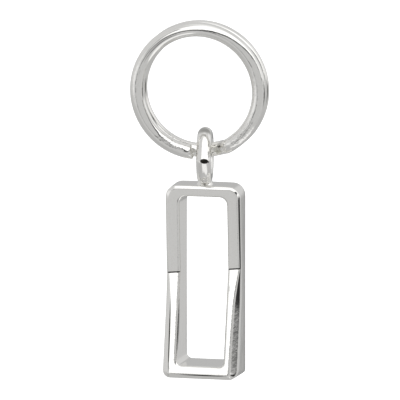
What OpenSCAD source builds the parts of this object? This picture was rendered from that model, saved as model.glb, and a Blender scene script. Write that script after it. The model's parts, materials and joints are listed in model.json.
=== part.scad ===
/* [Split ring] */
// Outside diameter of the split ring
ring_od = 8.0; // [7.5:0.1:9]
// Diameter of the wire that the split ring is coiled from
ring_wire_d = 0.82; // [0.7:0.01:0.84]
// Distance between the centres of the two coils, front to back
coil_pitch = 0.86; // [0.86:0.01:1.1]

/* [Bail] */
// Outside diameter of the bail loop
bail_od = 3.36; // [3.2:0.02:3.6]
// Diameter of the wire that the bail loop is bent from
bail_wire_d = 0.85; // [0.8:0.01:0.94]
// Turn of the bail loop about the vertical, as it was soldered on
bail_turn = 8; // [0:1:12]

/* [Letter] */
// Width of the letter
letter_w = 4.38; // [4:0.05:5]
// Height of the letter
letter_h = 11.15; // [10:0.1:12]
// Width of the window in the letter
window_w = 2.74; // [2.4:0.02:2.9]
// Thickness of the bar across the top
top_bar_h = 0.64; // [0.6:0.02:0.9]
// Thickness of the bar across the bottom
bottom_bar_h = 0.76; // [0.6:0.02:0.9]
// Depth of the letter at its top
top_depth = 2.00; // [1.7:0.05:2.2]
// Depth of the letter at the crease across its side bars
crease_depth = 1.40; // [1.2:0.05:1.6]
// Depth of the letter at its bottom
bottom_depth = 2.90; // [2.4:0.05:3.1]
// Distance of the crease below the top of the letter
crease_drop = 4.90; // [4.5:0.1:5.5]
// Slant of the crease, which runs higher on the right
crease_slant = 5; // [0:0.5:6]
// Radius of the letter's outer corners
outer_corner_r = 0.60; // [0.4:0.05:0.8]
// Radius of the window's corners
window_corner_r = 0.32; // [0.2:0.02:0.5]
// Distance of the letter's centre to the right of the ring's centre
letter_shift = 0.23; // [0:0.01:0.3]

/* [Hidden] */
$fn = 64;

// The origin is the inside top of the split ring, where it hangs.
// +Z is up, -Y is towards the front and +X is to the right.
silver = [0.76, 0.755, 0.74];
clearance = 0.08;
overlap = 0.2;

// The split ring, with angles counted from +X towards +Z. Its coils end on each side of
// the stretch where the wire crosses from the back coil to the front one.
wire_r = ring_wire_d / 2;
coil_r = ring_od / 2 - wire_r;
ring_z = -(coil_r - wire_r);
front_coil_end = 265.5;
back_coil_end = 312;
crossing_back = 284.5;
crossing_front = 306;
// Each bend reaches a little into the wire next to it, and is a little thinner
bend_lap = 3;
drawn_down = 0.97;

// The bail loop hangs on the back coil, just clear of it
hinge_y = coil_pitch / 2;
hinge_z = ring_z - sqrt(coil_r ^ 2 - letter_shift ^ 2);
bail_r = bail_wire_d / 2;
bail_top = hinge_z + wire_r + clearance + bail_wire_d;
bail_z = bail_top - bail_od / 2;
bail_sink = 0.05;
letter_top = bail_top - bail_od + bail_sink;

// The solder that joins the loop to the letter
foot_r = 0.60;
foot_h = 0.24;

// The letter's flat back stands upright behind the bail
back_y = hinge_y + top_depth / 2;
crease_y = back_y - crease_depth;
crease_z = letter_top - crease_drop;
spare = 2;

// A point on a coil's centre line
function on_coil(angle, y) = [coil_r * cos(angle), y, ring_z + coil_r * sin(angle)];

// The way that a coil runs at an angle, going towards larger angles
function coil_heading(angle) = [-sin(angle), 0, cos(angle)];

function unit(v) = v / norm(v);

// How far two arcs reach along their end tangents before they meet, for a gap between two headings
function tangent_reach(gap, a, b) =
    let (spread = 2 * (1 - a * b), along = gap * (a + b))
    (sqrt(along ^ 2 + spread * (gap * gap)) - along) / spread;

// A rectangle with round corners, centred on its width, with its top edge at top
module round_rect(w, h, r, top) {
    translate([-w / 2 + r, top - h]) square([w - 2 * r, h]);
    translate([-w / 2, top - h + r]) square([w, h - 2 * r]);
    for (x = [-w / 2 + r, w / 2 - r], z = [top - r, top - h + r])
        translate([x, z]) circle(r);
}

// A stretch of one coil, in the plane at depth y
module coil(y, from, to) {
    translate([0, y, ring_z])
        rotate([90, 0, 0])
            rotate([0, 0, from])
                rotate_extrude(angle = to - from)
                    translate([coil_r, 0]) circle(wire_r);
}

// A bend of wire that leaves start along heading and ends at finish, lapping a little past both
module bend(start, heading, finish, r) {
    chord = finish - start;
    side = unit(chord - (chord * heading) * heading);
    bend_r = (chord * chord) / (2 * chord * side);
    turn = 2 * asin(norm(chord) / (2 * bend_r));
    centre = start + bend_r * side;
    out = -side;
    up = cross(out, heading);
    multmatrix([
        [out[0], heading[0], up[0], centre[0]],
        [out[1], heading[1], up[1], centre[1]],
        [out[2], heading[2], up[2], centre[2]],
        [0, 0, 0, 1]
    ])
        rotate([0, 0, -bend_lap])
            rotate_extrude(angle = turn + 2 * bend_lap)
                translate([bend_r, 0]) circle(r);
}

// One wire coiled almost twice, with an S-bend from the back coil to the front one
module split_ring() {
    start = on_coil(crossing_back, coil_pitch / 2);
    finish = on_coil(crossing_front, -coil_pitch / 2);
    start_heading = coil_heading(crossing_back);
    finish_heading = coil_heading(crossing_front);
    reach = tangent_reach(finish - start, start_heading, finish_heading);
    middle = (start + finish + reach * (start_heading - finish_heading)) / 2;
    color(silver) {
        coil(-coil_pitch / 2, crossing_front - 360, front_coil_end);
        coil(coil_pitch / 2, back_coil_end - 360, crossing_back);
        bend(start, start_heading, middle, wire_r * drawn_down);
        bend(finish, -finish_heading, middle, wire_r * drawn_down ^ 2);
    }
}

// A round loop of wire that stands on the letter, with a flared foot of solder
module bail() {
    translate([letter_shift, hinge_y, 0])
        rotate([0, 0, bail_turn]) {
            translate([0, 0, bail_z])
                rotate([0, 90, 0])
                    rotate_extrude()
                        translate([bail_od / 2 - bail_r, 0]) circle(bail_r);
            translate([0, 0, letter_top - overlap])
                cylinder(h = foot_h + overlap, r1 = foot_r + overlap, r2 = foot_r - foot_h);
        }
}

// The rectangular outline of the letter, as deep as its deepest part
module letter_blank() {
    window_h = letter_h - top_bar_h - bottom_bar_h;
    translate([letter_shift, back_y, 0])
        rotate([90, 0, 0])
            linear_extrude(height = bottom_depth + overlap)
                difference() {
                    round_rect(letter_w, letter_h, outer_corner_r, letter_top);
                    round_rect(window_w, window_h, window_corner_r, letter_top - top_bar_h);
                }
}

// What is cut away in front, down to two flat faces that meet at the crease
module front_cut() {
    upper_slope = (top_depth - crease_depth) / crease_drop;
    lower_slope = (bottom_depth - crease_depth) / (letter_h - crease_drop);
    rise = crease_drop + spare;
    fall = letter_h - crease_drop + spare;
    reach = bottom_depth + spare;
    translate([letter_shift, crease_y, crease_z])
        rotate([0, -crease_slant, 0])
            rotate([90, 0, 90])
                linear_extrude(height = 2 * letter_w, center = true)
                    polygon([
                        [0, 0],
                        [-upper_slope * rise, rise],
                        [-reach, rise],
                        [-reach, -fall],
                        [-lower_slope * fall, -fall]
                    ]);
}

// The letter frame with the bail soldered to its top, all one solid
module letter() {
    color(silver) {
        difference() {
            letter_blank();
            front_cut();
        }
        bail();
    }
}

split_ring();
letter();
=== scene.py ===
"""A letter charm in polished silver: an open letter with a creased front, on a coiled split ring.

Each piece has its own operator. The sizes and colours are properties, and the panel in the sidebar lists
the operators with their properties.
"""

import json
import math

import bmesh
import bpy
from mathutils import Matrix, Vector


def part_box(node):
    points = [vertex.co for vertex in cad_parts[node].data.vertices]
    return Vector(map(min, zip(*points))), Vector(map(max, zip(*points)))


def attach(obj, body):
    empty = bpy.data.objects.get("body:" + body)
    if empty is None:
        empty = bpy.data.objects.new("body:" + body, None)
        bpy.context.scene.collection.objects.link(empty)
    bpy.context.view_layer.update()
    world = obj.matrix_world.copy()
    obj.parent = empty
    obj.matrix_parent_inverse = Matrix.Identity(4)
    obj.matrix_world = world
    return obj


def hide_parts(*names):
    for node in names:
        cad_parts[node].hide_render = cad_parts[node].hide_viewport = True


bl_info = {
    "name": "Letter charm",
    "version": (1, 0, 0),
    "blender": (4, 5, 0),
    "location": "View3D > Sidebar > Letter charm",
    "description": "Makes a silver letter charm on a coiled split ring, with its lights and camera",
    "category": "Add Mesh",
}

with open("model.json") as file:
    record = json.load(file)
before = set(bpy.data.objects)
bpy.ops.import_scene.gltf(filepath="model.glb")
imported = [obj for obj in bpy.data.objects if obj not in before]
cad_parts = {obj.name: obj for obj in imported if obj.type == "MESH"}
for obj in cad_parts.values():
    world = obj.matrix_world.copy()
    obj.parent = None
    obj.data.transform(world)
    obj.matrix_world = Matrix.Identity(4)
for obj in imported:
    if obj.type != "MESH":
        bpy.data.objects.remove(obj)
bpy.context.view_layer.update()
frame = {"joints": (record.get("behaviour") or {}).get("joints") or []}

# Lengths are set in metres, and meshes are shaped in millimetres before they are scaled to metres
MM = 0.001

# Places that the frame gives
RING_LOW, RING_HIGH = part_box("split_ring")
RING_CENTRE = Vector((0, 0, (RING_HIGH.z + RING_LOW.z) / 2))
LETTER_LOW, LETTER_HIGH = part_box("letter")
HINGE = Vector(frame["joints"][0]["pos_m"])

# The picture that the camera is set for: its side and the ring's centre in pixels, and a pixel's real size
IMAGE_SIZE = 400
RING_CENTRE_PIXEL = (199.6, 89.8)
PIXEL_SIZE = 0.0575 * MM

# How far the ring and the bail stay inside their boxes, in millimetres
BOX_GAP = 0.002

# How near two places count as one, in millimetres: for a cutting plane, for doubles, and for a corner
CUT_GAP = 1e-5
MERGE_GAP = 1e-4
CORNER_GAP = 1e-3

# The digits of a millimetre that places on an outline are compared by
PLACE_DIGITS = 4

# Steps of the ring and of the bail: round the wire, along each stretch, and across a rounded edge
RING_STEPS = {"round": 24, "front": 110, "crossing": 8, "back": 114, "cut": 4}
BAIL_STEPS = {"round": 28, "rear": 44, "front": 16, "kink": 5, "foot": 32}

# Steps round each corner of the letter and across each of its rounded edges
CORNER_STEPS = 8
EDGE_STEPS = 4

# Width of the first inset that the shoulders grow from, in millimetres
FIRST_INSET = 0.05

# The sloped shoulders along the letter's front edges, by distance below the top: how far they reach
# over the face and down the wall, in millimetres
SHOULDERS = (
    {"drop": 0.6, "left": 0.22, "left_wall": 0.10, "right": 0.13, "right_wall": 0.20},
    {"drop": 2.6, "left": 0.20, "left_wall": 0.10, "right": 0.11, "right_wall": 0.18},
    {"drop": 4.4, "left": 0.14, "left_wall": 0.08, "right": 0.10, "right_wall": 0.16},
    {"drop": 5.1, "left": 0.14, "left_wall": 0.10, "right": 0.10, "right_wall": 0.18},
    {"drop": 5.9, "left": 0.22, "left_wall": 0.20, "right": 0.20, "right_wall": 0.35},
    {"drop": 7.0, "left": 0.32, "left_wall": 0.27, "right": 0.32, "right_wall": 0.55},
    {"drop": 8.4, "left": 0.36, "left_wall": 0.27, "right": 0.34, "right_wall": 0.59},
    {"drop": 10.2, "left": 0.38, "left_wall": 0.25, "right": 0.38, "right_wall": 0.66},
)

# The shoulder along the top and the bottom, and round the window, in millimetres
END_SHOULDER = {"top": 0.17, "top_wall": 0.11, "bottom": 0.27, "bottom_wall": 0.27}
INNER_SHOULDER = 0.08

# How much of a shoulder's width its edges round, towards the face and towards the wall
SIDE_SHARE = {"face": 0.12, "wall": 0.26}
END_SHARE = {"face": 0.22, "wall": 0.26}

# Rounding round the window and along the back, and the widest that an edge can have, in millimetres
INNER_ROUNDING = 0.045
BACK_ROUNDING = 0.12
WIDEST_ROUNDING = 0.5

# How near the back an edge counts as the back's, in millimetres
BACK_GAP = 0.05

# How far the faces beside an edge have to turn before it is rounded, in degrees
FRONT_EDGE_ANGLE = 8.0
BACK_EDGE_ANGLE = 40.0

# Notes on the letter's vertices: 1 where one is on the outline and 0 where it is on the window, 1 where it
# is on the face and 0 where it is on the wall, and the way that its shoulder reaches
NOTES = ("is_outer", "on_face", "way_x", "way_z")

# How far the notes on an edge's two ends may differ while it still runs along the shoulder, not across
SAME_NOTE = 0.01

# The least that a way's squared length counts as, so that nothing is divided by zero
LEAST_WAY = 1e-6

# How much of the bottom corners' radius is left at the back
BACK_CORNER_SHARE = 0.4

# Places of the loops across the letter, above and below the crease, in millimetres
CREASE_LOOPS = (
    -5.4, -4.5, -3.6, -2.8, -2.1, -1.5, -1.0, -0.6, -0.3, -0.15, -0.07,
    0.0, 0.07, 0.15, 0.35, 0.8, 1.6, 2.7, 3.6,
)

# The bail's front strand as it was bent: turns in degrees, lengths along the wire's middle in millimetres
BAIL_STRAND = {
    "crown_turn": 56.0, "crown_radius": 1.025, "upper_arm": 1.04, "kink_turn": 60.0, "kink_rounding": 0.12,
}

# The solder foot under the bail: reach from its middle and height above the letter, in millimetres
FOOT_PROFILE = ((0.52, -0.06), (0.49, 0.0), (0.45, 0.05), (0.43, 0.12), (0.42, 0.32))

# The patterns in the metal: the scale of each one's noise for each millimetre, its detail and roughness,
# and the strength and depth of its bump, in millimetres
WAVES = {"scale": 0.8, "detail": 1.0, "roughness": 0.4, "strength": 0.5, "depth": 0.02}
RIPPLES = {"scale": 3.2, "detail": 3.0, "roughness": 0.65, "strength": 0.5, "depth": 0.0045}
LINES = {"scale": 1.0, "detail": 3.0, "roughness": 0.6, "strength": 0.5, "depth": 0.004}
SCRATCHES = {"scale": 9.0, "detail": 4.0, "roughness": 0.6, "strength": 0.3, "depth": 0.0016}

# How tightly the drawing and filing lines lie across and along the metal
LINE_STRETCH = (7.0, 7.0, 0.7)

# The stretch of the scratches' noise that shows, and how rough the metal is at its two ends
SCRATCH_RANGE = (0.3, 0.7)
METAL_ROUGHNESS = (0.04, 0.10)

# Worn places, where the ripples and scratches are deeper: where each is and how far it reaches each way
# in millimetres, and how many times deeper they are there
RING_WORN = (
    {"place": (2.5, -0.4, -5.3), "reach": (1.5, 1.2, 1.9), "deeper": 16.0},
    {"place": (-1.6, -0.4, -6.2), "reach": (1.3, 1.2, 0.7), "deeper": 12.0},
    {"place": (-3.5, -0.6, -2.6), "reach": (0.6, 0.8, 1.6), "deeper": 9.0},
    {"place": (3.5, -0.5, -2.2), "reach": (0.7, 1.0, 2.2), "deeper": 9.0},
)
LETTER_WORN = (
    {"place": (2.3, -0.7, -17.6), "reach": (0.5, 1.2, 3.6), "deeper": 4.0},
)

# How much of a worn place is as deep as its middle
WORN_SOLID = 0.5

# Colours of painted light: yellowish painted shade between the ring's coils, near-black painted shade and
# painted reflections, a painted dark reflection along an edge, a painted dim reflection, and a fine painted
# dark reflected line
PAINTED_GAP_SHADE = (0.34, 0.34, 0.25)
PAINTED_BLACK = (0.025, 0.025, 0.022)
PAINTED_EDGE_REFLECTION = (0.10, 0.10, 0.09)
PAINTED_DIM_REFLECTION = (0.42, 0.42, 0.40)
PAINTED_LINE_REFLECTION = (0.30, 0.30, 0.28)

# Places of painted shade and painted reflections: where each is and how far it reaches each way in
# millimetres, its slant in degrees, how much of it is solid, and how ragged its edge is
RING_PAINTED_SHADE = (
    # painted shade, tinted yellowish, in the gap where the two coils cross, right of the bail
    {"place": (1.05, 0.1, -6.7), "reach": (0.8, 0.6, 0.5), "slant": 0.0, "solid": 0.3, "ragged": 0.9,
     "colour": PAINTED_GAP_SHADE},
    # painted shade, tinted yellowish, in the recess beside the front coil's cut end, left of the bail
    {"place": (-0.45, -0.3, -6.85), "reach": (0.35, 0.5, 0.6), "slant": 0.0, "solid": 0.2, "ragged": 0.7,
     "colour": PAINTED_GAP_SHADE},
)
LETTER_PAINTED_SHADE_AND_REFLECTIONS = (
    # painted shade along the crease across the front
    {"place": (0.23, 0.0, -13.735), "reach": (30.0, 0.14, 0.062), "slant": -5.0, "solid": 0.6, "ragged": 0.3,
     "colour": PAINTED_BLACK},
    # painted black reflection across the front of the bail's kink
    {"place": (0.56, -1.36, -7.10), "reach": (0.30, 0.36, 0.17), "slant": 6.0, "solid": 0.8, "ragged": 0.2,
     "colour": PAINTED_BLACK},
    # painted dark reflection along the front edge of the bottom
    {"place": (0.35, -1.47, -19.62), "reach": (2.10, 0.30, 0.050), "slant": 0.0, "solid": 0.6, "ragged": 0.2,
     "colour": PAINTED_BLACK},
    # painted dark reflection along the front edge of the window's left side, lower down
    {"place": (-1.145, -0.75, -17.0), "reach": (0.035, 2.0, 2.6), "slant": 0.0, "solid": 0.5, "ragged": 0.4,
     "colour": PAINTED_EDGE_REFLECTION},
    # painted dim reflection over the bail's crown
    {"place": (0.25, 0.0, -5.42), "reach": (0.90, 0.45, 0.75), "slant": 0.0, "solid": 0.45, "ragged": 0.25,
     "colour": PAINTED_DIM_REFLECTION},
    # painted dim reflection on the right bar's outer edge, below the crease
    {"place": (1.80, -0.3, -14.75), "reach": (0.14, 0.5, 0.55), "slant": 3.0, "solid": 0.3, "ragged": 0.9,
     "colour": PAINTED_DIM_REFLECTION},
    # painted dark reflection along the left outer edge near the top
    {"place": (-1.86, -0.45, -10.2), "reach": (0.06, 0.4, 1.1), "slant": -6.5, "solid": 0.2, "ragged": 0.8,
     "colour": PAINTED_BLACK},
    # painted dark reflection along the left outer shoulder, lower down
    {"place": (-1.61, -0.95, -17.3), "reach": (0.065, 1.4, 3.3), "slant": -1.0, "solid": 0.6, "ragged": 0.25,
     "colour": PAINTED_EDGE_REFLECTION},
    # painted dark reflected line on the right outer wall, low down
    {"place": (2.42, 0.45, -18.2), "reach": (0.3, 0.05, 1.6), "slant": 0.0, "solid": 0.3, "ragged": 0.6,
     "colour": PAINTED_LINE_REFLECTION},
    # painted dark reflected line on the right outer wall, higher up
    {"place": (2.42, 0.70, -11.3), "reach": (0.3, 0.06, 2.6), "slant": 0.0, "solid": 0.3, "ragged": 0.6,
     "colour": PAINTED_LINE_REFLECTION},
    # painted dark reflected line on the window's left wall
    {"place": (-1.08, -0.16, -17.9), "reach": (0.15, 0.04, 1.4), "slant": 0.0, "solid": 0.3, "ragged": 0.8,
     "colour": PAINTED_LINE_REFLECTION},
)

# Brightness of the light tent at each height above the horizon, in degrees, on the camera's side
FRONT_SKY = (
    {"height": -90.0, "brightness": 0.52},
    {"height": -46.0, "brightness": 0.53},
    {"height": -20.0, "brightness": 0.60},
    {"height": -8.0, "brightness": 0.63},
    {"height": 2.0, "brightness": 0.74},
    {"height": 9.0, "brightness": 1.00},
    {"height": 14.0, "brightness": 1.25},
    {"height": 66.0, "brightness": 1.25},
    {"height": 80.0, "brightness": 1.10},
    {"height": 90.0, "brightness": 1.00},
)

# Brightness on the far side
REAR_SKY = (
    {"height": -90.0, "brightness": 0.54},
    {"height": -50.0, "brightness": 0.47},
    {"height": -20.0, "brightness": 0.53},
    {"height": -9.0, "brightness": 0.58},
    {"height": -2.0, "brightness": 0.66},
    {"height": 30.0, "brightness": 0.67},
    {"height": 60.0, "brightness": 0.66},
    {"height": 76.0, "brightness": 0.84},
    {"height": 90.0, "brightness": 1.00},
)

# Where the tent's front side has its middle, by turn from the camera, and how far from there the tent
# starts to look like the far side and is wholly like it, in degrees
FRONT_MIDDLE = 22.0
REAR_START = 60.0
REAR_WHOLE = 80.0

# The opening in the tent: how square it is, where 2 is an ellipse, and how soft its edge is
OPENING_SQUARENESS = 2.3
OPENING_SOFT = 0.02

# The black rim of the opening. Its half width grows from one height to another, and it fades out below
# the horizon, with heights in degrees and widths as shares of the opening
RIM_HEIGHTS = (8.0, 36.0)
RIM_HALF_WIDTHS = (0.06, 0.12)
RIM_FADE = (-3.0, 4.0)
RIM_SOFT = 0.12

# Cards and flags round the object, by turn from the camera and height above the horizon, with half their
# width and height, in degrees. A card right behind is given twice, at the two ends of the turn
CARDS = (
    {"turn": -64.0, "height": -2.0, "half_size": (10.0, 4.0), "soft": 15.0, "brightness": 0.88},
    {"turn": 114.0, "height": 22.0, "half_size": (12.0, 16.0), "soft": 12.0, "brightness": 0.85},
    {"turn": 97.0, "height": -10.0, "half_size": (4.0, 3.0), "soft": 12.0, "brightness": 0.03},
    {"turn": -10.0, "height": -25.0, "half_size": (7.0, 2.5), "soft": 3.0, "brightness": 0.03},
    {"turn": -27.0, "height": -4.0, "half_size": (3.0, 6.0), "soft": 3.0, "brightness": 0.15},
    {"turn": -45.0, "height": 20.0, "half_size": (2.0, 16.0), "soft": 3.0, "brightness": 0.25},
    {"turn": 26.0, "height": -54.0, "half_size": (52.0, 7.0), "soft": 7.0, "brightness": 0.95},
    {"turn": 180.0, "height": 10.0, "half_size": (12.0, 6.0), "soft": 8.0, "brightness": 0.50},
    {"turn": -180.0, "height": 10.0, "half_size": (12.0, 6.0), "soft": 8.0, "brightness": 0.50},
    {"turn": 180.0, "height": -10.0, "half_size": (20.0, 5.0), "soft": 10.0, "brightness": 0.32},
    {"turn": -180.0, "height": -10.0, "half_size": (20.0, 5.0), "soft": 10.0, "brightness": 0.32},
)

# The floor: half its side in metres, and how pale, how rough and how bright of itself it is
FLOOR_HALF_SIZE = 3.0
FLOOR_GREY = 0.85
FLOOR_ROUGHNESS = 0.9
FLOOR_GLOW = 0.6


class SplitRingSettings(bpy.types.PropertyGroup):
    """Sizes of the coiled ring."""

    wire: bpy.props.FloatProperty(
        name="Wire", description="Diameter of the ring's wire",
        default=0.82 * MM, unit="LENGTH", precision=5,
    )
    front_end: bpy.props.FloatProperty(
        name="Front end", description="Where the front coil is cut off",
        default=math.radians(264.3), subtype="ANGLE",
    )
    back_end: bpy.props.FloatProperty(
        name="Back end", description="Where the back coil is cut off",
        default=math.radians(312), subtype="ANGLE",
    )
    crossing_back: bpy.props.FloatProperty(
        name="Crossing, back", description="Where the bend between the coils meets the back one",
        default=math.radians(284.5), subtype="ANGLE",
    )
    crossing_front: bpy.props.FloatProperty(
        name="Crossing, front", description="Where the bend between the coils meets the front one",
        default=math.radians(306), subtype="ANGLE",
    )
    cut_lean: bpy.props.FloatProperty(
        name="Cut lean", description="Lean of the cut ends",
        default=math.radians(14), subtype="ANGLE",
    )
    cut_rounding: bpy.props.FloatProperty(
        name="Cut rounding", description="Rounding of the cut ends",
        default=0.09 * MM, unit="LENGTH", precision=5,
    )


class LetterSettings(bpy.types.PropertyGroup):
    """Sizes of the letter and its bail."""

    height: bpy.props.FloatProperty(
        name="Height", description="Height of the letter",
        default=11.15 * MM, unit="LENGTH", precision=5,
    )
    window_width: bpy.props.FloatProperty(
        name="Window width", description="Width of the window in front",
        default=2.74 * MM, unit="LENGTH", precision=5,
    )
    window_shift: bpy.props.FloatProperty(
        name="Window shift", description="How much further the window reaches to the right",
        default=0.06 * MM, unit="LENGTH", precision=5,
    )
    window_taper: bpy.props.FloatProperty(
        name="Window taper", description="How much each side of the window leans in towards the back",
        default=0.12 * MM, unit="LENGTH", precision=5,
    )
    top_bar: bpy.props.FloatProperty(
        name="Top bar", description="Thickness of the bar across the top",
        default=0.64 * MM, unit="LENGTH", precision=5,
    )
    bottom_bar: bpy.props.FloatProperty(
        name="Bottom bar", description="Thickness of the bar across the bottom",
        default=0.76 * MM, unit="LENGTH", precision=5,
    )
    back: bpy.props.FloatProperty(
        name="Back", description="Distance of the flat back behind the bail's middle",
        default=1.0 * MM, unit="LENGTH", precision=5,
    )
    top_depth: bpy.props.FloatProperty(
        name="Top depth", description="Depth at the top",
        default=1.84 * MM, unit="LENGTH", precision=5,
    )
    crease_depth: bpy.props.FloatProperty(
        name="Crease depth", description="Depth at the crease",
        default=1.4 * MM, unit="LENGTH", precision=5,
    )
    bottom_depth: bpy.props.FloatProperty(
        name="Bottom depth", description="Depth at the bottom",
        default=2.9 * MM, unit="LENGTH", precision=5,
    )
    crease_drop: bpy.props.FloatProperty(
        name="Crease drop", description="Distance of the crease below the top",
        default=5.0 * MM, unit="LENGTH", precision=5,
    )
    crease_slant: bpy.props.FloatProperty(
        name="Crease slant", description="Slant of the crease",
        default=math.radians(5), subtype="ANGLE",
    )
    top_corner: bpy.props.FloatProperty(
        name="Top corners", description="Radius of the outer corners at the top",
        default=0.72 * MM, unit="LENGTH", precision=5,
    )
    bottom_corner: bpy.props.FloatProperty(
        name="Bottom corners", description="Radius of the outer corners at the bottom",
        default=0.46 * MM, unit="LENGTH", precision=5,
    )
    window_top_corner: bpy.props.FloatProperty(
        name="Window's top corners", description="Radius of the window's corners at the top",
        default=0.46 * MM, unit="LENGTH", precision=5,
    )
    window_bottom_corner: bpy.props.FloatProperty(
        name="Window's bottom corners", description="Radius of the window's corners at the bottom",
        default=0.32 * MM, unit="LENGTH", precision=5,
    )
    bail_height: bpy.props.FloatProperty(
        name="Bail height", description="Height of the bail loop",
        default=3.36 * MM, unit="LENGTH", precision=5,
    )
    bail_wire: bpy.props.FloatProperty(
        name="Bail wire", description="Diameter of the bail's wire",
        default=0.85 * MM, unit="LENGTH", precision=5,
    )
    bail_turn: bpy.props.FloatProperty(
        name="Bail turn", description="Turn of the bail about the vertical",
        default=math.radians(8), subtype="ANGLE",
    )


class SilverSettings(bpy.types.PropertyGroup):
    """Look of the silver."""

    colour: bpy.props.FloatVectorProperty(
        name="Silver", description="Colour of clean silver",
        default=(0.955, 0.95, 0.935), size=3, subtype="COLOR", min=0.0, max=1.0,
    )
    dull_colour: bpy.props.FloatVectorProperty(
        name="Dull silver", description="Colour where the polish is thin",
        default=(0.86, 0.85, 0.82), size=3, subtype="COLOR", min=0.0, max=1.0,
    )


class StageSettings(bpy.types.PropertyGroup):
    """Camera, floor and the tent's opening."""

    azimuth: bpy.props.FloatProperty(
        name="Azimuth", description="How far round to the right the camera stands",
        default=math.radians(12), subtype="ANGLE",
    )
    elevation: bpy.props.FloatProperty(
        name="Elevation", description="How high the camera stands",
        default=math.radians(10), subtype="ANGLE",
    )
    lens: bpy.props.FloatProperty(
        name="Lens", description="Focal length of the camera in millimetres",
        default=1600.0, min=50.0,
    )
    floor_drop: bpy.props.FloatProperty(
        name="Floor drop", description="Height of the charm above the floor",
        default=14.0 * MM, unit="LENGTH", precision=5,
    )
    opening_turn: bpy.props.FloatProperty(
        name="Opening turn", description="Turn of the tent's opening from the camera",
        default=math.radians(24), subtype="ANGLE",
    )
    opening_height: bpy.props.FloatProperty(
        name="Opening height", description="Height of the opening's middle",
        default=math.radians(2), subtype="ANGLE",
    )
    opening_half_width: bpy.props.FloatProperty(
        name="Opening half width", description="Half the width of the opening",
        default=math.radians(47), subtype="ANGLE",
    )
    opening_half_height: bpy.props.FloatProperty(
        name="Opening half height", description="Half the height of the opening",
        default=math.radians(35), subtype="ANGLE",
    )
    opening_lean: bpy.props.FloatProperty(
        name="Opening lean", description="How far the opening leans for each degree of height",
        default=0.25,
    )
    opening_grey: bpy.props.FloatProperty(
        name="Opening grey", description="Brightness seen through the opening",
        default=0.57, min=0.0,
    )
    rim_black: bpy.props.FloatProperty(
        name="Rim black", description="Brightness of the opening's rim",
        default=0.02, min=0.0,
    )


# Shaping

def edges_of(geometry):
    """The edges among some bmesh parts."""
    return [part for part in geometry if isinstance(part, bmesh.types.BMEdge)]


def verts_of(geometry):
    """The vertices among some bmesh parts."""
    return [part for part in geometry if isinstance(part, bmesh.types.BMVert)]


def ends_of(edges):
    """The vertices at the ends of some edges."""
    return {vert for edge in edges for vert in edge.verts}


def start_wire(radius, sides, centre, heading):
    """A bmesh with a round wire's open section at a point, square to its heading, and that section."""
    bm = bmesh.new()
    turn = heading.to_track_quat("Z", "Y").to_matrix().to_4x4()
    bmesh.ops.create_circle(
        bm, cap_ends=False, radius=radius, segments=sides, matrix=Matrix.Translation(centre) @ turn
    )
    return bm, bm.edges[:]


def sweep(bm, section, centre, axis, angle, steps):
    """Carries an open section round an axis, and returns the section that it ends at."""
    swept = bmesh.ops.spin(
        bm, geom=section, cent=centre, axis=axis, angle=angle, steps=steps, use_merge=False,
        use_duplicate=False,
    )
    return edges_of(swept["geom_last"])


def extend(bm, section, way):
    """Carries an open section straight on, and returns the section that it ends at."""
    made = bmesh.ops.extrude_edge_only(bm, edges=section)
    bmesh.ops.translate(bm, verts=verts_of(made["geom"]), vec=way)
    return edges_of(made["geom"])


def lean_end(section, centre, heading, outward, lean):
    """Leans a section, so that its outer side reaches further."""
    for vert in ends_of(section):
        vert.co += heading * math.tan(lean) * (vert.co - centre).dot(outward)


def round_edges(bm, edges, width, steps):
    """Rounds some edges by a width."""
    bmesh.ops.bevel(
        bm, geom=edges, offset=width, offset_type="OFFSET", segments=steps, profile=0.5, affect="EDGES",
        material=-1, clamp_overlap=True,
    )


def round_outline(bm, width, height, top_radius, bottom_radius, centre):
    """An upright rectangle with round corners, as a loop of edges."""
    stand = Matrix.Translation(centre) @ Matrix.Rotation(math.pi / 2, 4, "X")
    made = bmesh.ops.create_grid(
        bm, x_segments=1, y_segments=1, size=0.5, matrix=stand @ Matrix.Diagonal((width, height, 1, 1))
    )
    top = [vert for vert in made["verts"] if vert.co.z > centre.z]
    bottom = [vert for vert in made["verts"] if vert.co.z < centre.z]
    for corners, radius in ((top, top_radius), (bottom, bottom_radius)):
        rounded = bmesh.ops.bevel(
            bm, geom=corners, offset=radius, offset_type="OFFSET", segments=CORNER_STEPS, profile=0.5,
            affect="VERTICES", material=-1,
        )
    face = rounded["verts"][0].link_faces[0]
    edges = face.edges[:]
    bmesh.ops.delete(bm, geom=[face], context="FACES_ONLY")
    return edges


def table_value(table, along, key, at):
    """A value read from a table, with straight lines between rows that are in the order of one column."""
    for before, after in zip(table, table[1:]):
        if at <= after[along]:
            share = max(0.0, (at - before[along]) / (after[along] - before[along]))
            return before[key] + share * (after[key] - before[key])
    return table[-1][key]


def finished_mesh(bm, name):
    """The bmesh as a mesh in metres, smooth all over."""
    bmesh.ops.remove_doubles(bm, verts=bm.verts[:], dist=MERGE_GAP)
    bmesh.ops.recalc_face_normals(bm, faces=bm.faces[:])
    mesh = bpy.data.meshes.new(name)
    bm.to_mesh(mesh)
    bm.free()
    for polygon in mesh.polygons:
        polygon.use_smooth = True
    mesh.transform(Matrix.Scale(MM, 4))
    return mesh


def add_piece(mesh, name, body, node, material):
    """Adds a finished piece that stands for a node of the frame."""
    piece = bpy.data.objects.new(name, mesh)
    bpy.context.scene.collection.objects.link(piece)
    mesh.materials.append(material)
    flat = piece.modifiers.new("Flat faces", "WEIGHTED_NORMAL")
    flat.mode = "FACE_AREA"
    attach(piece, body)
    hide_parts(node)


# The split ring

def coil_point(centre, radius, angle):
    """A point on a coil's centre line."""
    return centre + Vector((radius * math.cos(angle), 0, radius * math.sin(angle)))


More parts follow.
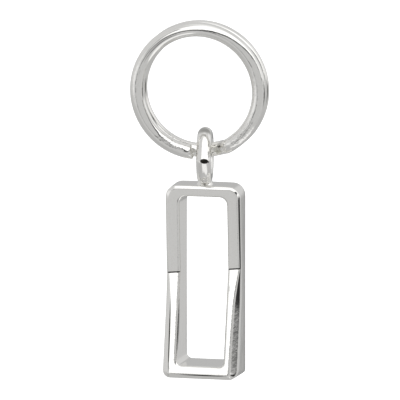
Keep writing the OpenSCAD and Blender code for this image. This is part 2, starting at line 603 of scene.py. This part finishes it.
def coil_heading(angle):
    """The way that a coil runs at an angle, going towards smaller angles."""
    return Vector((math.sin(angle), 0, -math.cos(angle)))


def sweep_arc(bm, section, start, heading, finish):
    """Carries a section along the one arc that leaves start along heading and ends at finish."""
    chord = finish - start
    side = (chord - chord.dot(heading) * heading).normalized()
    radius = chord.length_squared / (2 * chord.dot(side))
    angle = 2 * math.asin(chord.length / (2 * radius))
    return sweep(bm, section, start + radius * side, heading.cross(side), angle, RING_STEPS["crossing"])


def sweep_crossing(bm, section, leave, leaving, arrive, arriving):
    """Carries a section from one coil to the other, along two arcs that meet halfway."""
    gap = arrive - leave
    spread = 2 * (1 - leaving.dot(arriving))
    along = gap.dot(leaving + arriving)
    reach = (math.sqrt(along ** 2 + spread * gap.length_squared) - along) / spread
    middle = (leave + arrive + reach * (leaving - arriving)) / 2
    middle_heading = (gap - reach * (leaving + arriving)).normalized()
    section = sweep_arc(bm, section, leave, leaving, middle)
    return sweep_arc(bm, section, middle, middle_heading, arrive)


def make_split_ring(settings):
    """One wire coiled almost twice, with a bend where it crosses from the front coil to the back one."""
    wire_radius = settings.wire / MM / 2
    radius = RING_HIGH.x / MM - wire_radius - BOX_GAP
    front = RING_CENTRE / MM + Vector((0, RING_LOW.y / MM + wire_radius + BOX_GAP, 0))
    back = RING_CENTRE / MM + Vector((0, RING_HIGH.y / MM - wire_radius - BOX_GAP, 0))
    start = coil_point(front, radius, settings.front_end)
    leave = coil_point(front, radius, settings.crossing_front)
    arrive = coil_point(back, radius, settings.crossing_back)
    finish = coil_point(back, radius, settings.back_end)
    start_heading = coil_heading(settings.front_end)
    finish_heading = coil_heading(settings.back_end)
    front_turn = settings.front_end + 2 * math.pi - settings.crossing_front
    back_turn = settings.crossing_back + 2 * math.pi - settings.back_end
    bm, first = start_wire(wire_radius, RING_STEPS["round"], start, start_heading)
    section = sweep(bm, first, front, (0, 1, 0), front_turn, RING_STEPS["front"])
    section = sweep_crossing(
        bm, section, leave, coil_heading(settings.crossing_front), arrive,
        coil_heading(settings.crossing_back),
    )
    last = sweep(bm, section, back, (0, 1, 0), back_turn, RING_STEPS["back"])
    lean_end(first, start, -start_heading, (start - front).normalized(), settings.cut_lean)
    lean_end(last, finish, finish_heading, (finish - back).normalized(), settings.cut_lean)
    rims = [edge for edge in bm.edges if edge.is_boundary]
    bmesh.ops.edgeloop_fill(bm, edges=rims)
    round_edges(bm, rims, settings.cut_rounding / MM, RING_STEPS["cut"])
    return finished_mesh(bm, "split_ring_wire")


# The letter

def letter_top(settings):
    """Height of the letter's top, in millimetres."""
    return (LETTER_LOW.z + settings.height) / MM


def letter_back(settings):
    """Depth at which the letter's flat back stands, in millimetres."""
    return (HINGE.y + settings.back) / MM


def front_depth(settings, point):
    """Depth at which the creased front stands at a point of the outline, in millimetres."""
    crease_z = letter_top(settings) - settings.crease_drop / MM
    slant = settings.crease_slant
    rise = (point.z - crease_z) * math.cos(slant) - (point.x - HINGE.x / MM) * math.sin(slant)
    if rise > 0:
        slope = (settings.top_depth - settings.crease_depth) / settings.crease_drop
    else:
        slope = (settings.bottom_depth - settings.crease_depth) / (settings.height - settings.crease_drop)
    return letter_back(settings) - settings.crease_depth / MM - slope * abs(rise)


def side_share(way):
    """How much of a way on the outline points to the side."""
    return way.x ** 2 / max(way.x ** 2 + way.z ** 2, LEAST_WAY)


def shoulder_sizes(way, drop, height):
    """How far the outer shoulder takes from the face and the wall, in millimetres, by the way it faces."""
    share = side_share(way)
    side = "left" if way.x > 0 else "right"
    side_face = table_value(SHOULDERS, "drop", side, drop)
    side_wall = table_value(SHOULDERS, "drop", side + "_wall", drop)
    end = "top" if drop < height / 2 else "bottom"
    end_face, end_wall = END_SHOULDER[end], END_SHOULDER[end + "_wall"]
    return share * side_face + (1 - share) * end_face, share * side_wall + (1 - share) * end_wall


def outline_place(vert):
    """A vertex's place on the outline, rounded so that places can be compared."""
    return round(vert.co.x, PLACE_DIGITS), round(vert.co.z, PLACE_DIGITS)


def add_plate(bm, settings):
    """The flat back with its window, and the vertices of its outline and of its window."""
    height = settings.height / MM
    bottom = LETTER_LOW.z / MM
    window_height = height - (settings.top_bar + settings.bottom_bar) / MM
    window_middle = bottom + settings.bottom_bar / MM + window_height / 2
    outer = round_outline(
        bm, (LETTER_HIGH.x - LETTER_LOW.x) / MM, height, settings.top_corner / MM,
        settings.bottom_corner / MM, Vector((HINGE.x / MM, letter_back(settings), bottom + height / 2)),
    )
    inner = round_outline(
        bm, settings.window_width / MM, window_height, settings.window_top_corner / MM,
        settings.window_bottom_corner / MM, Vector((HINGE.x / MM, letter_back(settings), window_middle)),
    )
    outer_verts, window_verts = ends_of(outer), ends_of(inner)
    bmesh.ops.bridge_loops(bm, edges=outer + inner)
    return outer_verts, window_verts


def mark_rims(bm, layers, outer_verts, window_verts):
    """Writes the notes on the vertices of the front's two rims, and of the inset beside each rim."""
    is_outer, on_face, way_x, way_z = layers
    window_places = {outline_place(vert) for vert in window_verts}
    rim_places = window_places | {outline_place(vert) for vert in outer_verts}
    rims = [vert for vert in bm.verts if vert.co.y < 0 and outline_place(vert) in rim_places]
    for vert in rims:
        vert[is_outer] = 0.0 if outline_place(vert) in window_places else 1.0
        beside = [edge.other_vert(vert) for edge in vert.link_edges]
        inset = [other for other in beside if other.co.y < 0 and outline_place(other) not in rim_places]
        other = min(inset, key=lambda one: (one.co - vert.co).length)
        way = (other.co - vert.co) / FIRST_INSET
        other[on_face] = 1.0
        other[is_outer] = vert[is_outer]
        vert[way_x] = other[way_x] = way.x
        vert[way_z] = other[way_z] = way.z
    for vert in outer_verts:
        vert[is_outer] = 1.0


def sharpen_back_corners(settings, outer_verts):
    """Draws the bottom corners of the back out, so that they are sharper than in front."""
    half_width = (LETTER_HIGH.x - LETTER_LOW.x) / MM / 2
    reach = settings.bottom_corner / MM + CORNER_GAP
    for side in (-1, 1):
        corner = Vector((HINGE.x / MM + side * half_width, letter_back(settings), LETTER_LOW.z / MM))
        for vert in outer_verts:
            off = vert.co - corner
            if max(abs(off.x), abs(off.z)) < reach:
                vert.co = corner + off * BACK_CORNER_SHARE


def shape_window(bm, settings, window_verts):
    """Moves the window's right side out, and draws both sides in towards the back."""
    is_outer = bm.verts.layers.float["is_outer"]
    middle_x = HINGE.x / MM
    for vert in bm.verts:
        if vert[is_outer] < 0.5 and vert.co.x > middle_x:
            vert.co.x += settings.window_shift / MM
    for vert in window_verts:
        side = 1 if vert.co.x > middle_x else -1
        vert.co.x -= side * settings.window_taper / MM


def add_loops(bm, settings):
    """Cuts loops across the letter, along the crease and above and below it."""
    crease = Vector((HINGE.x / MM, 0, letter_top(settings) - settings.crease_drop / MM))
    across = Vector((-math.sin(settings.crease_slant), 0, math.cos(settings.crease_slant)))
    for offset in CREASE_LOOPS:
        bmesh.ops.bisect_plane(
            bm, geom=bm.verts[:] + bm.edges[:] + bm.faces[:], dist=CUT_GAP,
            plane_co=crease + offset * across, plane_no=across,
        )


def shape_front(bm, settings, layers):
    """Gives the front its shoulders and the depth of the creased face."""
    is_outer, on_face, way_x, way_z = layers
    top = letter_top(settings)
    for vert in bm.verts:
        if vert.co.y > 0:
            continue
        way = Vector((vert[way_x], 0, vert[way_z]))
        if vert[is_outer] > 0.5:
            face, wall = shoulder_sizes(way, top - vert.co.z, settings.height / MM)
        else:
            face, wall = INNER_SHOULDER, INNER_SHOULDER
        vert.co += way * vert[on_face] * (face - FIRST_INSET)
        vert.co.y = front_depth(settings, vert.co) + wall * (1 - vert[on_face])


def letter_cage(settings):
    """The open letter with its shoulders, as a bmesh that still has sharp edges."""
    bm = bmesh.new()
    for name in NOTES:
        bm.verts.layers.float.new(name)
    layers = bm.verts.layers.float.values()
    outer_verts, window_verts = add_plate(bm, settings)
    made = bmesh.ops.extrude_face_region(bm, geom=bm.faces[:])
    bmesh.ops.translate(bm, verts=verts_of(made["geom"]), vec=(0, -settings.bottom_depth / MM, 0))
    front_faces = [face for face in bm.faces if all(vert.co.y < 0 for vert in face.verts)]
    bmesh.ops.inset_region(
        bm, faces=front_faces, thickness=FIRST_INSET, depth=0, use_even_offset=True, use_boundary=True
    )
    mark_rims(bm, layers, outer_verts, window_verts)
    sharpen_back_corners(settings, outer_verts)
    shape_window(bm, settings, window_verts)
    add_loops(bm, settings)
    shape_front(bm, settings, layers)
    bmesh.ops.recalc_face_normals(bm, faces=bm.faces[:])
    return bm


def shoulder_width(vert, on_face):
    """Width of the shoulder at a vertex of its edges."""
    across = [edge for edge in vert.link_edges if abs(edge.verts[0][on_face] - edge.verts[1][on_face]) > 0.5]
    return max(edge.calc_length() for edge in across)


def edge_rounding(edge, back, layers):
    """How far an edge of the letter is rounded, in millimetres, or nothing where it stays as it is."""
    is_outer, on_face, way_x, way_z = layers
    one, other = edge.verts
    at_back = [vert.co.y > back - BACK_GAP for vert in edge.verts]
    if all(at_back):
        return BACK_ROUNDING if edge.calc_face_angle(0) > math.radians(BACK_EDGE_ANGLE) else 0.0
    across = any(abs(one[layer] - other[layer]) > SAME_NOTE for layer in (is_outer, on_face))
    if any(at_back) or across or edge.calc_face_angle(0) < math.radians(FRONT_EDGE_ANGLE):
        return 0.0
    if one[is_outer] < 0.5:
        return INNER_ROUNDING
    kind = "face" if one[on_face] > 0.5 else "wall"
    share = side_share(Vector((one[way_x] + other[way_x], 0, one[way_z] + other[way_z])))
    share = share * SIDE_SHARE[kind] + (1 - share) * END_SHARE[kind]
    return share * (shoulder_width(one, on_face) + shoulder_width(other, on_face)) / 2


def soften(mesh):
    """Rounds the edges by their weights and smooths the rest."""
    cage = bpy.data.objects.new("cage", mesh)
    bpy.context.scene.collection.objects.link(cage)
    bevel = cage.modifiers.new("Edge rounding", "BEVEL")
    bevel.limit_method = "WEIGHT"
    bevel.width = WIDEST_ROUNDING
    bevel.segments = EDGE_STEPS
    bevel.profile = 0.5
    bevel.use_clamp_overlap = False
    bevel.loop_slide = True
    smooth = cage.modifiers.new("Smooth metal", "SUBSURF")
    smooth.levels = 1
    smooth.render_levels = 1
    graph = bpy.context.evaluated_depsgraph_get()
    softened = bpy.data.meshes.new_from_object(cage.evaluated_get(graph))
    bpy.data.objects.remove(cage)
    return softened


def bend_front_strand(bm, first, crown, bottom_z):
    """Bends the bail's front strand from its crown down to its foot, and returns its end and its kink."""
    strand = BAIL_STRAND
    centre = crown - Vector((0, 0, strand["crown_radius"]))
    crown_turn = math.radians(strand["crown_turn"])
    section = sweep(bm, first, centre, (1, 0, 0), crown_turn, BAIL_STEPS["front"])
    bend = Matrix.Rotation(crown_turn, 3, "X")
    out, heading = bend @ Vector((0, 0, 1)), bend @ Vector((0, -1, 0))
    point = centre + out * strand["crown_radius"] + heading * strand["upper_arm"]
    section = extend(bm, section, heading * strand["upper_arm"])
    half_kink = math.radians(strand["kink_turn"] / 2)
    lean_end(section, point, heading, out, half_kink)
    kink = section
    bend = Matrix.Rotation(2 * half_kink, 3, "X")
    out, heading = bend @ out, bend @ heading
    under_radius = (point.y * out.y + (point.z - bottom_z) * out.z) / (1 + out.z)
    lower_arm = (point.y - under_radius * out.y) / out.z
    point += heading * lower_arm
    section = extend(bm, section, heading * lower_arm)
    lean_end(section, point, heading, out, half_kink)
    under_turn = math.pi / 2 + math.asin(out.z)
    front = sweep(bm, section, point - out * under_radius, (1, 0, 0), under_turn, BAIL_STEPS["front"])
    return front, kink


def add_foot(bm, top):
    """The low foot of solder between the bail and the letter."""
    foot = Vector((0, 0, top))
    verts = [bm.verts.new(foot + Vector((reach, 0, rise))) for reach, rise in FOOT_PROFILE]
    edges = [bm.edges.new(pair) for pair in zip(verts, verts[1:])]
    bmesh.ops.spin(
        bm, geom=verts + edges, cent=foot, axis=(0, 0, 1), angle=2 * math.pi, steps=BAIL_STEPS["foot"],
        use_merge=True, use_duplicate=False,
    )


def make_bail(settings):
    """A loop of wire with a kink in front, on its foot, in place above the letter."""
    radius = settings.bail_wire / MM / 2
    loop_radius = settings.bail_height / MM / 2 - radius - BOX_GAP
    crown = Vector((0, 0, LETTER_HIGH.z / MM - radius - BOX_GAP))
    bm, first = start_wire(radius, BAIL_STEPS["round"], crown, Vector((0, -1, 0)))
    loop_centre = crown - Vector((0, 0, loop_radius))
    rear = sweep(bm, first, loop_centre, (-1, 0, 0), math.pi, BAIL_STEPS["rear"])
    front, kink = bend_front_strand(bm, first, crown, crown.z - 2 * loop_radius)
    bmesh.ops.bridge_loops(bm, edges=front + rear)
    round_edges(bm, kink, BAIL_STRAND["kink_rounding"], BAIL_STEPS["kink"])
    add_foot(bm, letter_top(settings))
    place = Matrix.Translation((HINGE.x / MM, HINGE.y / MM, 0))
    bm.transform(place @ Matrix.Rotation(settings.bail_turn, 4, "Z"))
    return bm


def make_letter(settings):
    """The letter frame and its bail, as one soldered piece."""
    bm = letter_cage(settings)
    layers = bm.verts.layers.float.values()
    weights = bm.edges.layers.float.new("bevel_weight_edge")
    for edge in bm.edges:
        edge[weights] = edge_rounding(edge, letter_back(settings), layers) / WIDEST_ROUNDING
    cage = bpy.data.meshes.new("letter_cage")
    bm.to_mesh(cage)
    bm.free()
    bm = make_bail(settings)
    bm.from_mesh(soften(cage))
    return finished_mesh(bm, "letter_metal")


# Materials

def add_node(tree, kind, inputs=None, **properties):
    """Adds a shader node, sets its properties, and sets or links its inputs, by name or by number."""
    node = tree.nodes.new(kind)
    for key, value in properties.items():
        setattr(node, key, value)
    for key, value in (inputs or {}).items():
        if isinstance(value, bpy.types.NodeSocket):
            tree.links.new(value, node.inputs[key])
        else:
            node.inputs[key].default_value = value
    return node


def math_node(tree, operation, first, second=0.0, third=0.0):
    """The result of one sum on up to three values."""
    return add_node(tree, "ShaderNodeMath", {0: first, 1: second, 2: third}, operation=operation).outputs[0]


def ease(tree, value, start, finish, low=0.0, high=1.0, kind="SMOOTHSTEP"):
    """Goes from low to high as a value goes from start to finish, and no further."""
    inputs = {"Value": value, "From Min": start, "From Max": finish, "To Min": low, "To Max": high}
    return add_node(tree, "ShaderNodeMapRange", inputs, interpolation_type=kind).outputs[0]


def mix_colour(tree, share, first, second):
    """A blend of two colours, each four numbers or a socket."""
    return add_node(tree, "ShaderNodeMix", {0: share, 6: first, 7: second}, data_type="RGBA").outputs[2]


def mix_grey(tree, share, first, second):
    """A blend of two greys, each a number or a socket."""
    return add_node(tree, "ShaderNodeMix", {0: share, 2: first, 3: second}).outputs[0]


def scaled(tree, place, scale):
    """Coordinates multiplied by a scale for each way."""
    return add_node(tree, "ShaderNodeMapping", {"Vector": place, "Scale": scale}).outputs[0]


def add_noise(tree, place, pattern):
    """The noise of one of the patterns in the metal."""
    noise = {"Scale": pattern["scale"], "Detail": pattern["detail"], "Roughness": pattern["roughness"]}
    return add_node(tree, "ShaderNodeTexNoise", {"Vector": place, **noise}).outputs[0]


def add_bump(tree, height, pattern, below=None):
    """The bump that a pattern's height makes, on top of the bump below it."""
    inputs = {"Height": height, "Strength": pattern["strength"], "Distance": pattern["depth"] * MM}
    if below is not None:
        inputs["Normal"] = below
    return add_node(tree, "ShaderNodeBump", inputs).outputs[0]


def ring_lines(tree, in_mm):
    """Coordinates that run round the ring, for lines along its wire."""
    parts = add_node(tree, "ShaderNodeSeparateXYZ", {"Vector": in_mm}).outputs
    high = math_node(tree, "SUBTRACT", parts[2], RING_CENTRE.z / MM)
    angle = math_node(tree, "ARCTAN2", high, parts[0])
    across = math_node(tree, "MULTIPLY", parts[0], parts[0])
    out = math_node(tree, "SQRT", math_node(tree, "ADD", across, math_node(tree, "MULTIPLY", high, high)))
    return add_node(tree, "ShaderNodeCombineXYZ", {"X": out, "Y": parts[1], "Z": angle}).outputs[0]


def distance_from(tree, in_mm, place, reach, slant=0.0):
    """How far each point is from a place, counted in reaches."""
    turn = (0.0, math.radians(slant), 0.0)
    off = add_node(
        tree, "ShaderNodeMapping", {"Vector": in_mm, "Location": place, "Rotation": turn, "Scale": reach},
        vector_type="TEXTURE",
    ).outputs[0]
    return add_node(tree, "ShaderNodeVectorMath", {0: off}, operation="LENGTH").outputs["Value"]


def wear_at(tree, in_mm, worn_places):
    """How many times deeper the ripples and scratches are at each point."""
    wear = 1.0
    for row in worn_places:
        far = distance_from(tree, in_mm, row["place"], row["reach"])
        wear = math_node(tree, "ADD", ease(tree, far, 1.0, WORN_SOLID, 0.0, row["deeper"] - 1.0), wear)
    return wear


def paint_shade_and_reflections(tree, in_mm, colour, ripples, painted_places):
    """The metal's colour with its painted shade and painted reflections, whose edges the ripples make
    ragged.
    """
    for row in painted_places:
        far = distance_from(tree, in_mm, row["place"], row["reach"], row["slant"])
        far = math_node(tree, "ADD", far, math_node(tree, "MULTIPLY", ripples, row["ragged"]))
        colour = mix_colour(tree, ease(tree, far, 1.0, row["solid"]), colour, (*row["colour"], 1))
    return colour


def silver_material(name, settings, round_ring, painted_places, worn_places):
    """Polished silver with faint waves, fine lines from the drawing and filing, and painted shade and
    painted reflections.
    """
    material = bpy.data.materials.new(name)
    material.use_nodes = True
    tree = material.node_tree
    tree.nodes.clear()
    place = add_node(tree, "ShaderNodeTexCoord").outputs["Object"]
    in_mm = scaled(tree, place, (1 / MM, 1 / MM, 1 / MM))
    along = ring_lines(tree, in_mm) if round_ring else in_mm
    stretched = scaled(tree, along, LINE_STRETCH)
    ripples = add_noise(tree, in_mm, RIPPLES)
    scratches = add_noise(tree, in_mm, SCRATCHES)
    wear = wear_at(tree, in_mm, worn_places)
    bump = add_bump(tree, add_noise(tree, in_mm, WAVES), WAVES)
    bump = add_bump(tree, math_node(tree, "MULTIPLY", ripples, wear), RIPPLES, bump)
    bump = add_bump(tree, add_noise(tree, stretched, LINES), LINES, bump)
    bump = add_bump(tree, math_node(tree, "MULTIPLY", scratches, wear), SCRATCHES, bump)
    rough = ease(tree, scratches, *SCRATCH_RANGE, *METAL_ROUGHNESS, "LINEAR")
    colour = mix_colour(tree, scratches, (*settings.dull_colour, 1), (*settings.colour, 1))
    colour = paint_shade_and_reflections(tree, in_mm, colour, ripples, painted_places)
    shader = add_node(
        tree, "ShaderNodeBsdfPrincipled",
        {"Base Color": colour, "Metallic": 1.0, "Roughness": rough, "Normal": bump},
    )
    add_node(tree, "ShaderNodeOutputMaterial", {"Surface": shader.outputs[0]})
    return material


def floor_material():
    """A plain pale floor."""
    material = bpy.data.materials.new("pale_floor")
    material.use_nodes = True
    shader = material.node_tree.nodes["Principled BSDF"]
    shader.inputs["Base Color"].default_value = (FLOOR_GREY, FLOOR_GREY, FLOOR_GREY, 1)
    shader.inputs["Roughness"].default_value = FLOOR_ROUGHNESS
    shader.inputs["Emission Color"].default_value = (1, 1, 1, 1)
    shader.inputs["Emission Strength"].default_value = FLOOR_GLOW
    return material


# Stage

def brightness_ramp(tree, height, table):
    """Brightness by height above the horizon, from a table in degrees."""
    share = math_node(tree, "MULTIPLY_ADD", height, 1 / 180, 0.5)
    ramp = add_node(tree, "ShaderNodeValToRGB", {"Fac": share})
    elements = ramp.color_ramp.elements
    while len(elements) < len(table):
        elements.new(0.5)
    for element, row in zip(elements, table):
        element.position = (row["height"] + 90) / 180
    for element, row in zip(elements, table):
        element.color = (row["brightness"], row["brightness"], row["brightness"], 1)
    return ramp.outputs["Color"]


def band_mask(tree, value, centre, half, soft):
    """One inside a band of angles round a centre, with soft edges."""
    off = math_node(tree, "ABSOLUTE", math_node(tree, "SUBTRACT", value, centre))
    return ease(tree, off, half + soft, half)


def opening_distance(tree, settings, turn, height):
    """How far each direction is from the opening's middle, where its edge is at one."""
    high = math_node(tree, "SUBTRACT", height, math.degrees(settings.opening_height))
    lean = math_node(tree, "MULTIPLY", high, settings.opening_lean)
    across = math_node(tree, "SUBTRACT", turn, math.degrees(settings.opening_turn))
    across = math_node(tree, "SUBTRACT", across, lean)
    powers = []
    for off, half in ((across, settings.opening_half_width), (high, settings.opening_half_height)):
        share = math_node(tree, "ABSOLUTE", math_node(tree, "DIVIDE", off, math.degrees(half)))
        powers.append(math_node(tree, "POWER", share, OPENING_SQUARENESS))
    return math_node(tree, "POWER", math_node(tree, "ADD", *powers), 1 / OPENING_SQUARENESS)


def add_opening(tree, settings, light, turn, height):
    """The grey opening round the camera, with a thin black rim that grows wider at the top."""
    out = opening_distance(tree, settings, turn, height)
    inside = ease(tree, out, 1 + OPENING_SOFT, 1 - OPENING_SOFT, kind="LINEAR")
    light = mix_grey(tree, inside, light, settings.opening_grey)
    half_rim = ease(tree, height, *RIM_HEIGHTS, *RIM_HALF_WIDTHS)
    off = math_node(tree, "ABSOLUTE", math_node(tree, "SUBTRACT", out, 1.0))
    rim = ease(tree, math_node(tree, "DIVIDE", off, half_rim), 1 + RIM_SOFT, 1 - RIM_SOFT)
    above = ease(tree, height, *RIM_FADE)
    return mix_grey(tree, math_node(tree, "MULTIPLY", rim, above), light, settings.rim_black)


def add_cards(tree, light, turn, height):
    """The cards and flags that draw bright and dark lines on the metal."""
    for card in CARDS:
        half_width, half_height = card["half_size"]
        wide = band_mask(tree, turn, card["turn"], half_width, card["soft"])
        high = band_mask(tree, height, card["height"], half_height, card["soft"])
        light = mix_grey(tree, math_node(tree, "MULTIPLY", wide, high), light, card["brightness"])
    return light


def light_tent(settings):
    """Soft light all round with an opening, cards and flags, which looks plain white to the camera."""
    world = bpy.data.worlds.new("Light tent")
    bpy.context.scene.world = world
    world.use_nodes = True
    tree = world.node_tree
    tree.nodes.clear()
    direction = add_node(tree, "ShaderNodeTexCoord").outputs["Generated"]
    turned = add_node(
        tree, "ShaderNodeVectorRotate", {"Vector": direction, "Angle": -settings.azimuth},
        rotation_type="Z_AXIS",
    ).outputs[0]
    parts = add_node(tree, "ShaderNodeSeparateXYZ", {"Vector": turned}).outputs
    height = math_node(tree, "DEGREES", math_node(tree, "ARCSINE", parts[2]))
    toward = math_node(tree, "MULTIPLY", parts[1], -1)
    turn = math_node(tree, "DEGREES", math_node(tree, "ARCTAN2", parts[0], toward))
    around = math_node(tree, "ABSOLUTE", math_node(tree, "SUBTRACT", turn, FRONT_MIDDLE))
    front = brightness_ramp(tree, height, FRONT_SKY)
    rear = brightness_ramp(tree, height, REAR_SKY)
    light = mix_grey(tree, ease(tree, around, REAR_START, REAR_WHOLE), front, rear)
    light = add_opening(tree, settings, light, turn, height)
    light = add_cards(tree, light, turn, height)
    seen = add_node(tree, "ShaderNodeLightPath").outputs["Is Camera Ray"]
    background = add_node(tree, "ShaderNodeBackground", {"Color": mix_grey(tree, seen, light, 1.0)})
    add_node(tree, "ShaderNodeOutputWorld", {"Surface": background.outputs[0]})


def add_camera(settings):
    """The camera at the picture's angle, with the ring's centre on its pixel."""
    tilt = Matrix.Rotation(math.pi / 2 - settings.elevation, 4, "X")
    turn = Matrix.Rotation(settings.azimuth, 4, "Z") @ tilt
    right, up, back = turn.to_3x3().transposed()
    half = IMAGE_SIZE / 2
    aim = RING_CENTRE + right * (half - RING_CENTRE_PIXEL[0]) * PIXEL_SIZE
    aim += up * (RING_CENTRE_PIXEL[1] - half) * PIXEL_SIZE
    data = bpy.data.cameras.new("Camera")
    data.lens = settings.lens
    data.clip_start = 0.01
    distance = IMAGE_SIZE * PIXEL_SIZE * data.lens / data.sensor_width
    camera = bpy.data.objects.new("Camera", data)
    camera.matrix_world = Matrix.Translation(aim + back * distance) @ turn
    bpy.context.scene.collection.objects.link(camera)
    bpy.context.scene.camera = camera


def add_floor(settings):
    """A plain floor well below the charm."""
    bm = bmesh.new()
    place = Matrix.Translation((0, 0, LETTER_LOW.z - settings.floor_drop))
    bmesh.ops.create_grid(bm, x_segments=1, y_segments=1, size=FLOOR_HALF_SIZE, matrix=place)
    mesh = bpy.data.meshes.new("floor")
    bm.to_mesh(mesh)
    bm.free()
    mesh.materials.append(floor_material())
    floor = bpy.data.objects.new("floor", mesh)
    floor.visible_glossy = False
    bpy.context.scene.collection.objects.link(floor)


# Operators and panel

class CHARM_OT_split_ring(bpy.types.Operator):
    """Makes the coiled split ring"""

    bl_idname = "charm.split_ring"
    bl_label = "Split ring"

    def execute(self, context):
        scene = context.scene
        mesh = make_split_ring(scene.charm_ring)
        material = silver_material("ring_silver", scene.charm_silver, True, RING_PAINTED_SHADE, RING_WORN)
        add_piece(mesh, "ring_wire", "ring", "split_ring", material)
        return {"FINISHED"}


class CHARM_OT_letter(bpy.types.Operator):
    """Makes the letter with its bail"""

    bl_idname = "charm.letter"
    bl_label = "Letter"

    def execute(self, context):
        scene = context.scene
        mesh = make_letter(scene.charm_letter)
        material = silver_material("letter_silver", scene.charm_silver, False, LETTER_PAINTED_SHADE_AND_REFLECTIONS, LETTER_WORN)
        add_piece(mesh, "letter_metal", "charm", "letter", material)
        return {"FINISHED"}


class CHARM_OT_stage(bpy.types.Operator):
    """Sets up the floor, the light and the camera"""

    bl_idname = "charm.stage"
    bl_label = "Stage"

    def execute(self, context):
        settings = context.scene.charm_stage
        add_camera(settings)
        add_floor(settings)
        light_tent(settings)
        context.scene.view_settings.view_transform = "Standard"
        return {"FINISHED"}


class CHARM_PT_panel(bpy.types.Panel):
    """Lists the pieces of the charm and their settings"""

    bl_idname = "CHARM_PT_panel"
    bl_label = "Letter charm"
    bl_space_type = "VIEW_3D"
    bl_region_type = "UI"
    bl_category = "Letter charm"

    def draw(self, context):
        scene = context.scene
        for operator, settings in (
            (CHARM_OT_split_ring, scene.charm_ring),
            (CHARM_OT_letter, scene.charm_letter),
            (CHARM_OT_stage, scene.charm_stage),
        ):
            box = self.layout.box()
            box.operator(operator.bl_idname)
            for key in settings.__annotations__:
                box.prop(settings, key)
        for key in scene.charm_silver.__annotations__:
            self.layout.prop(scene.charm_silver, key)


SETTINGS = (
    ("charm_ring", SplitRingSettings),
    ("charm_letter", LetterSettings),
    ("charm_silver", SilverSettings),
    ("charm_stage", StageSettings),
)
CLASSES = (CHARM_OT_split_ring, CHARM_OT_letter, CHARM_OT_stage, CHARM_PT_panel)


def register():
    """Registers the settings, the operators and the panel."""
    for name, settings in SETTINGS:
        bpy.utils.register_class(settings)
        setattr(bpy.types.Scene, name, bpy.props.PointerProperty(type=settings))
    for kind in CLASSES:
        bpy.utils.register_class(kind)


def unregister():
    """Takes them out again, in the opposite order."""
    for kind in reversed(CLASSES):
        bpy.utils.unregister_class(kind)
    for name, settings in reversed(SETTINGS):
        delattr(bpy.types.Scene, name)
        bpy.utils.unregister_class(settings)


def main():
    """Makes every piece and the stage."""
    register()
    bpy.ops.charm.split_ring()
    bpy.ops.charm.letter()
    bpy.ops.charm.stage()


if __name__ == "__main__":
    main()
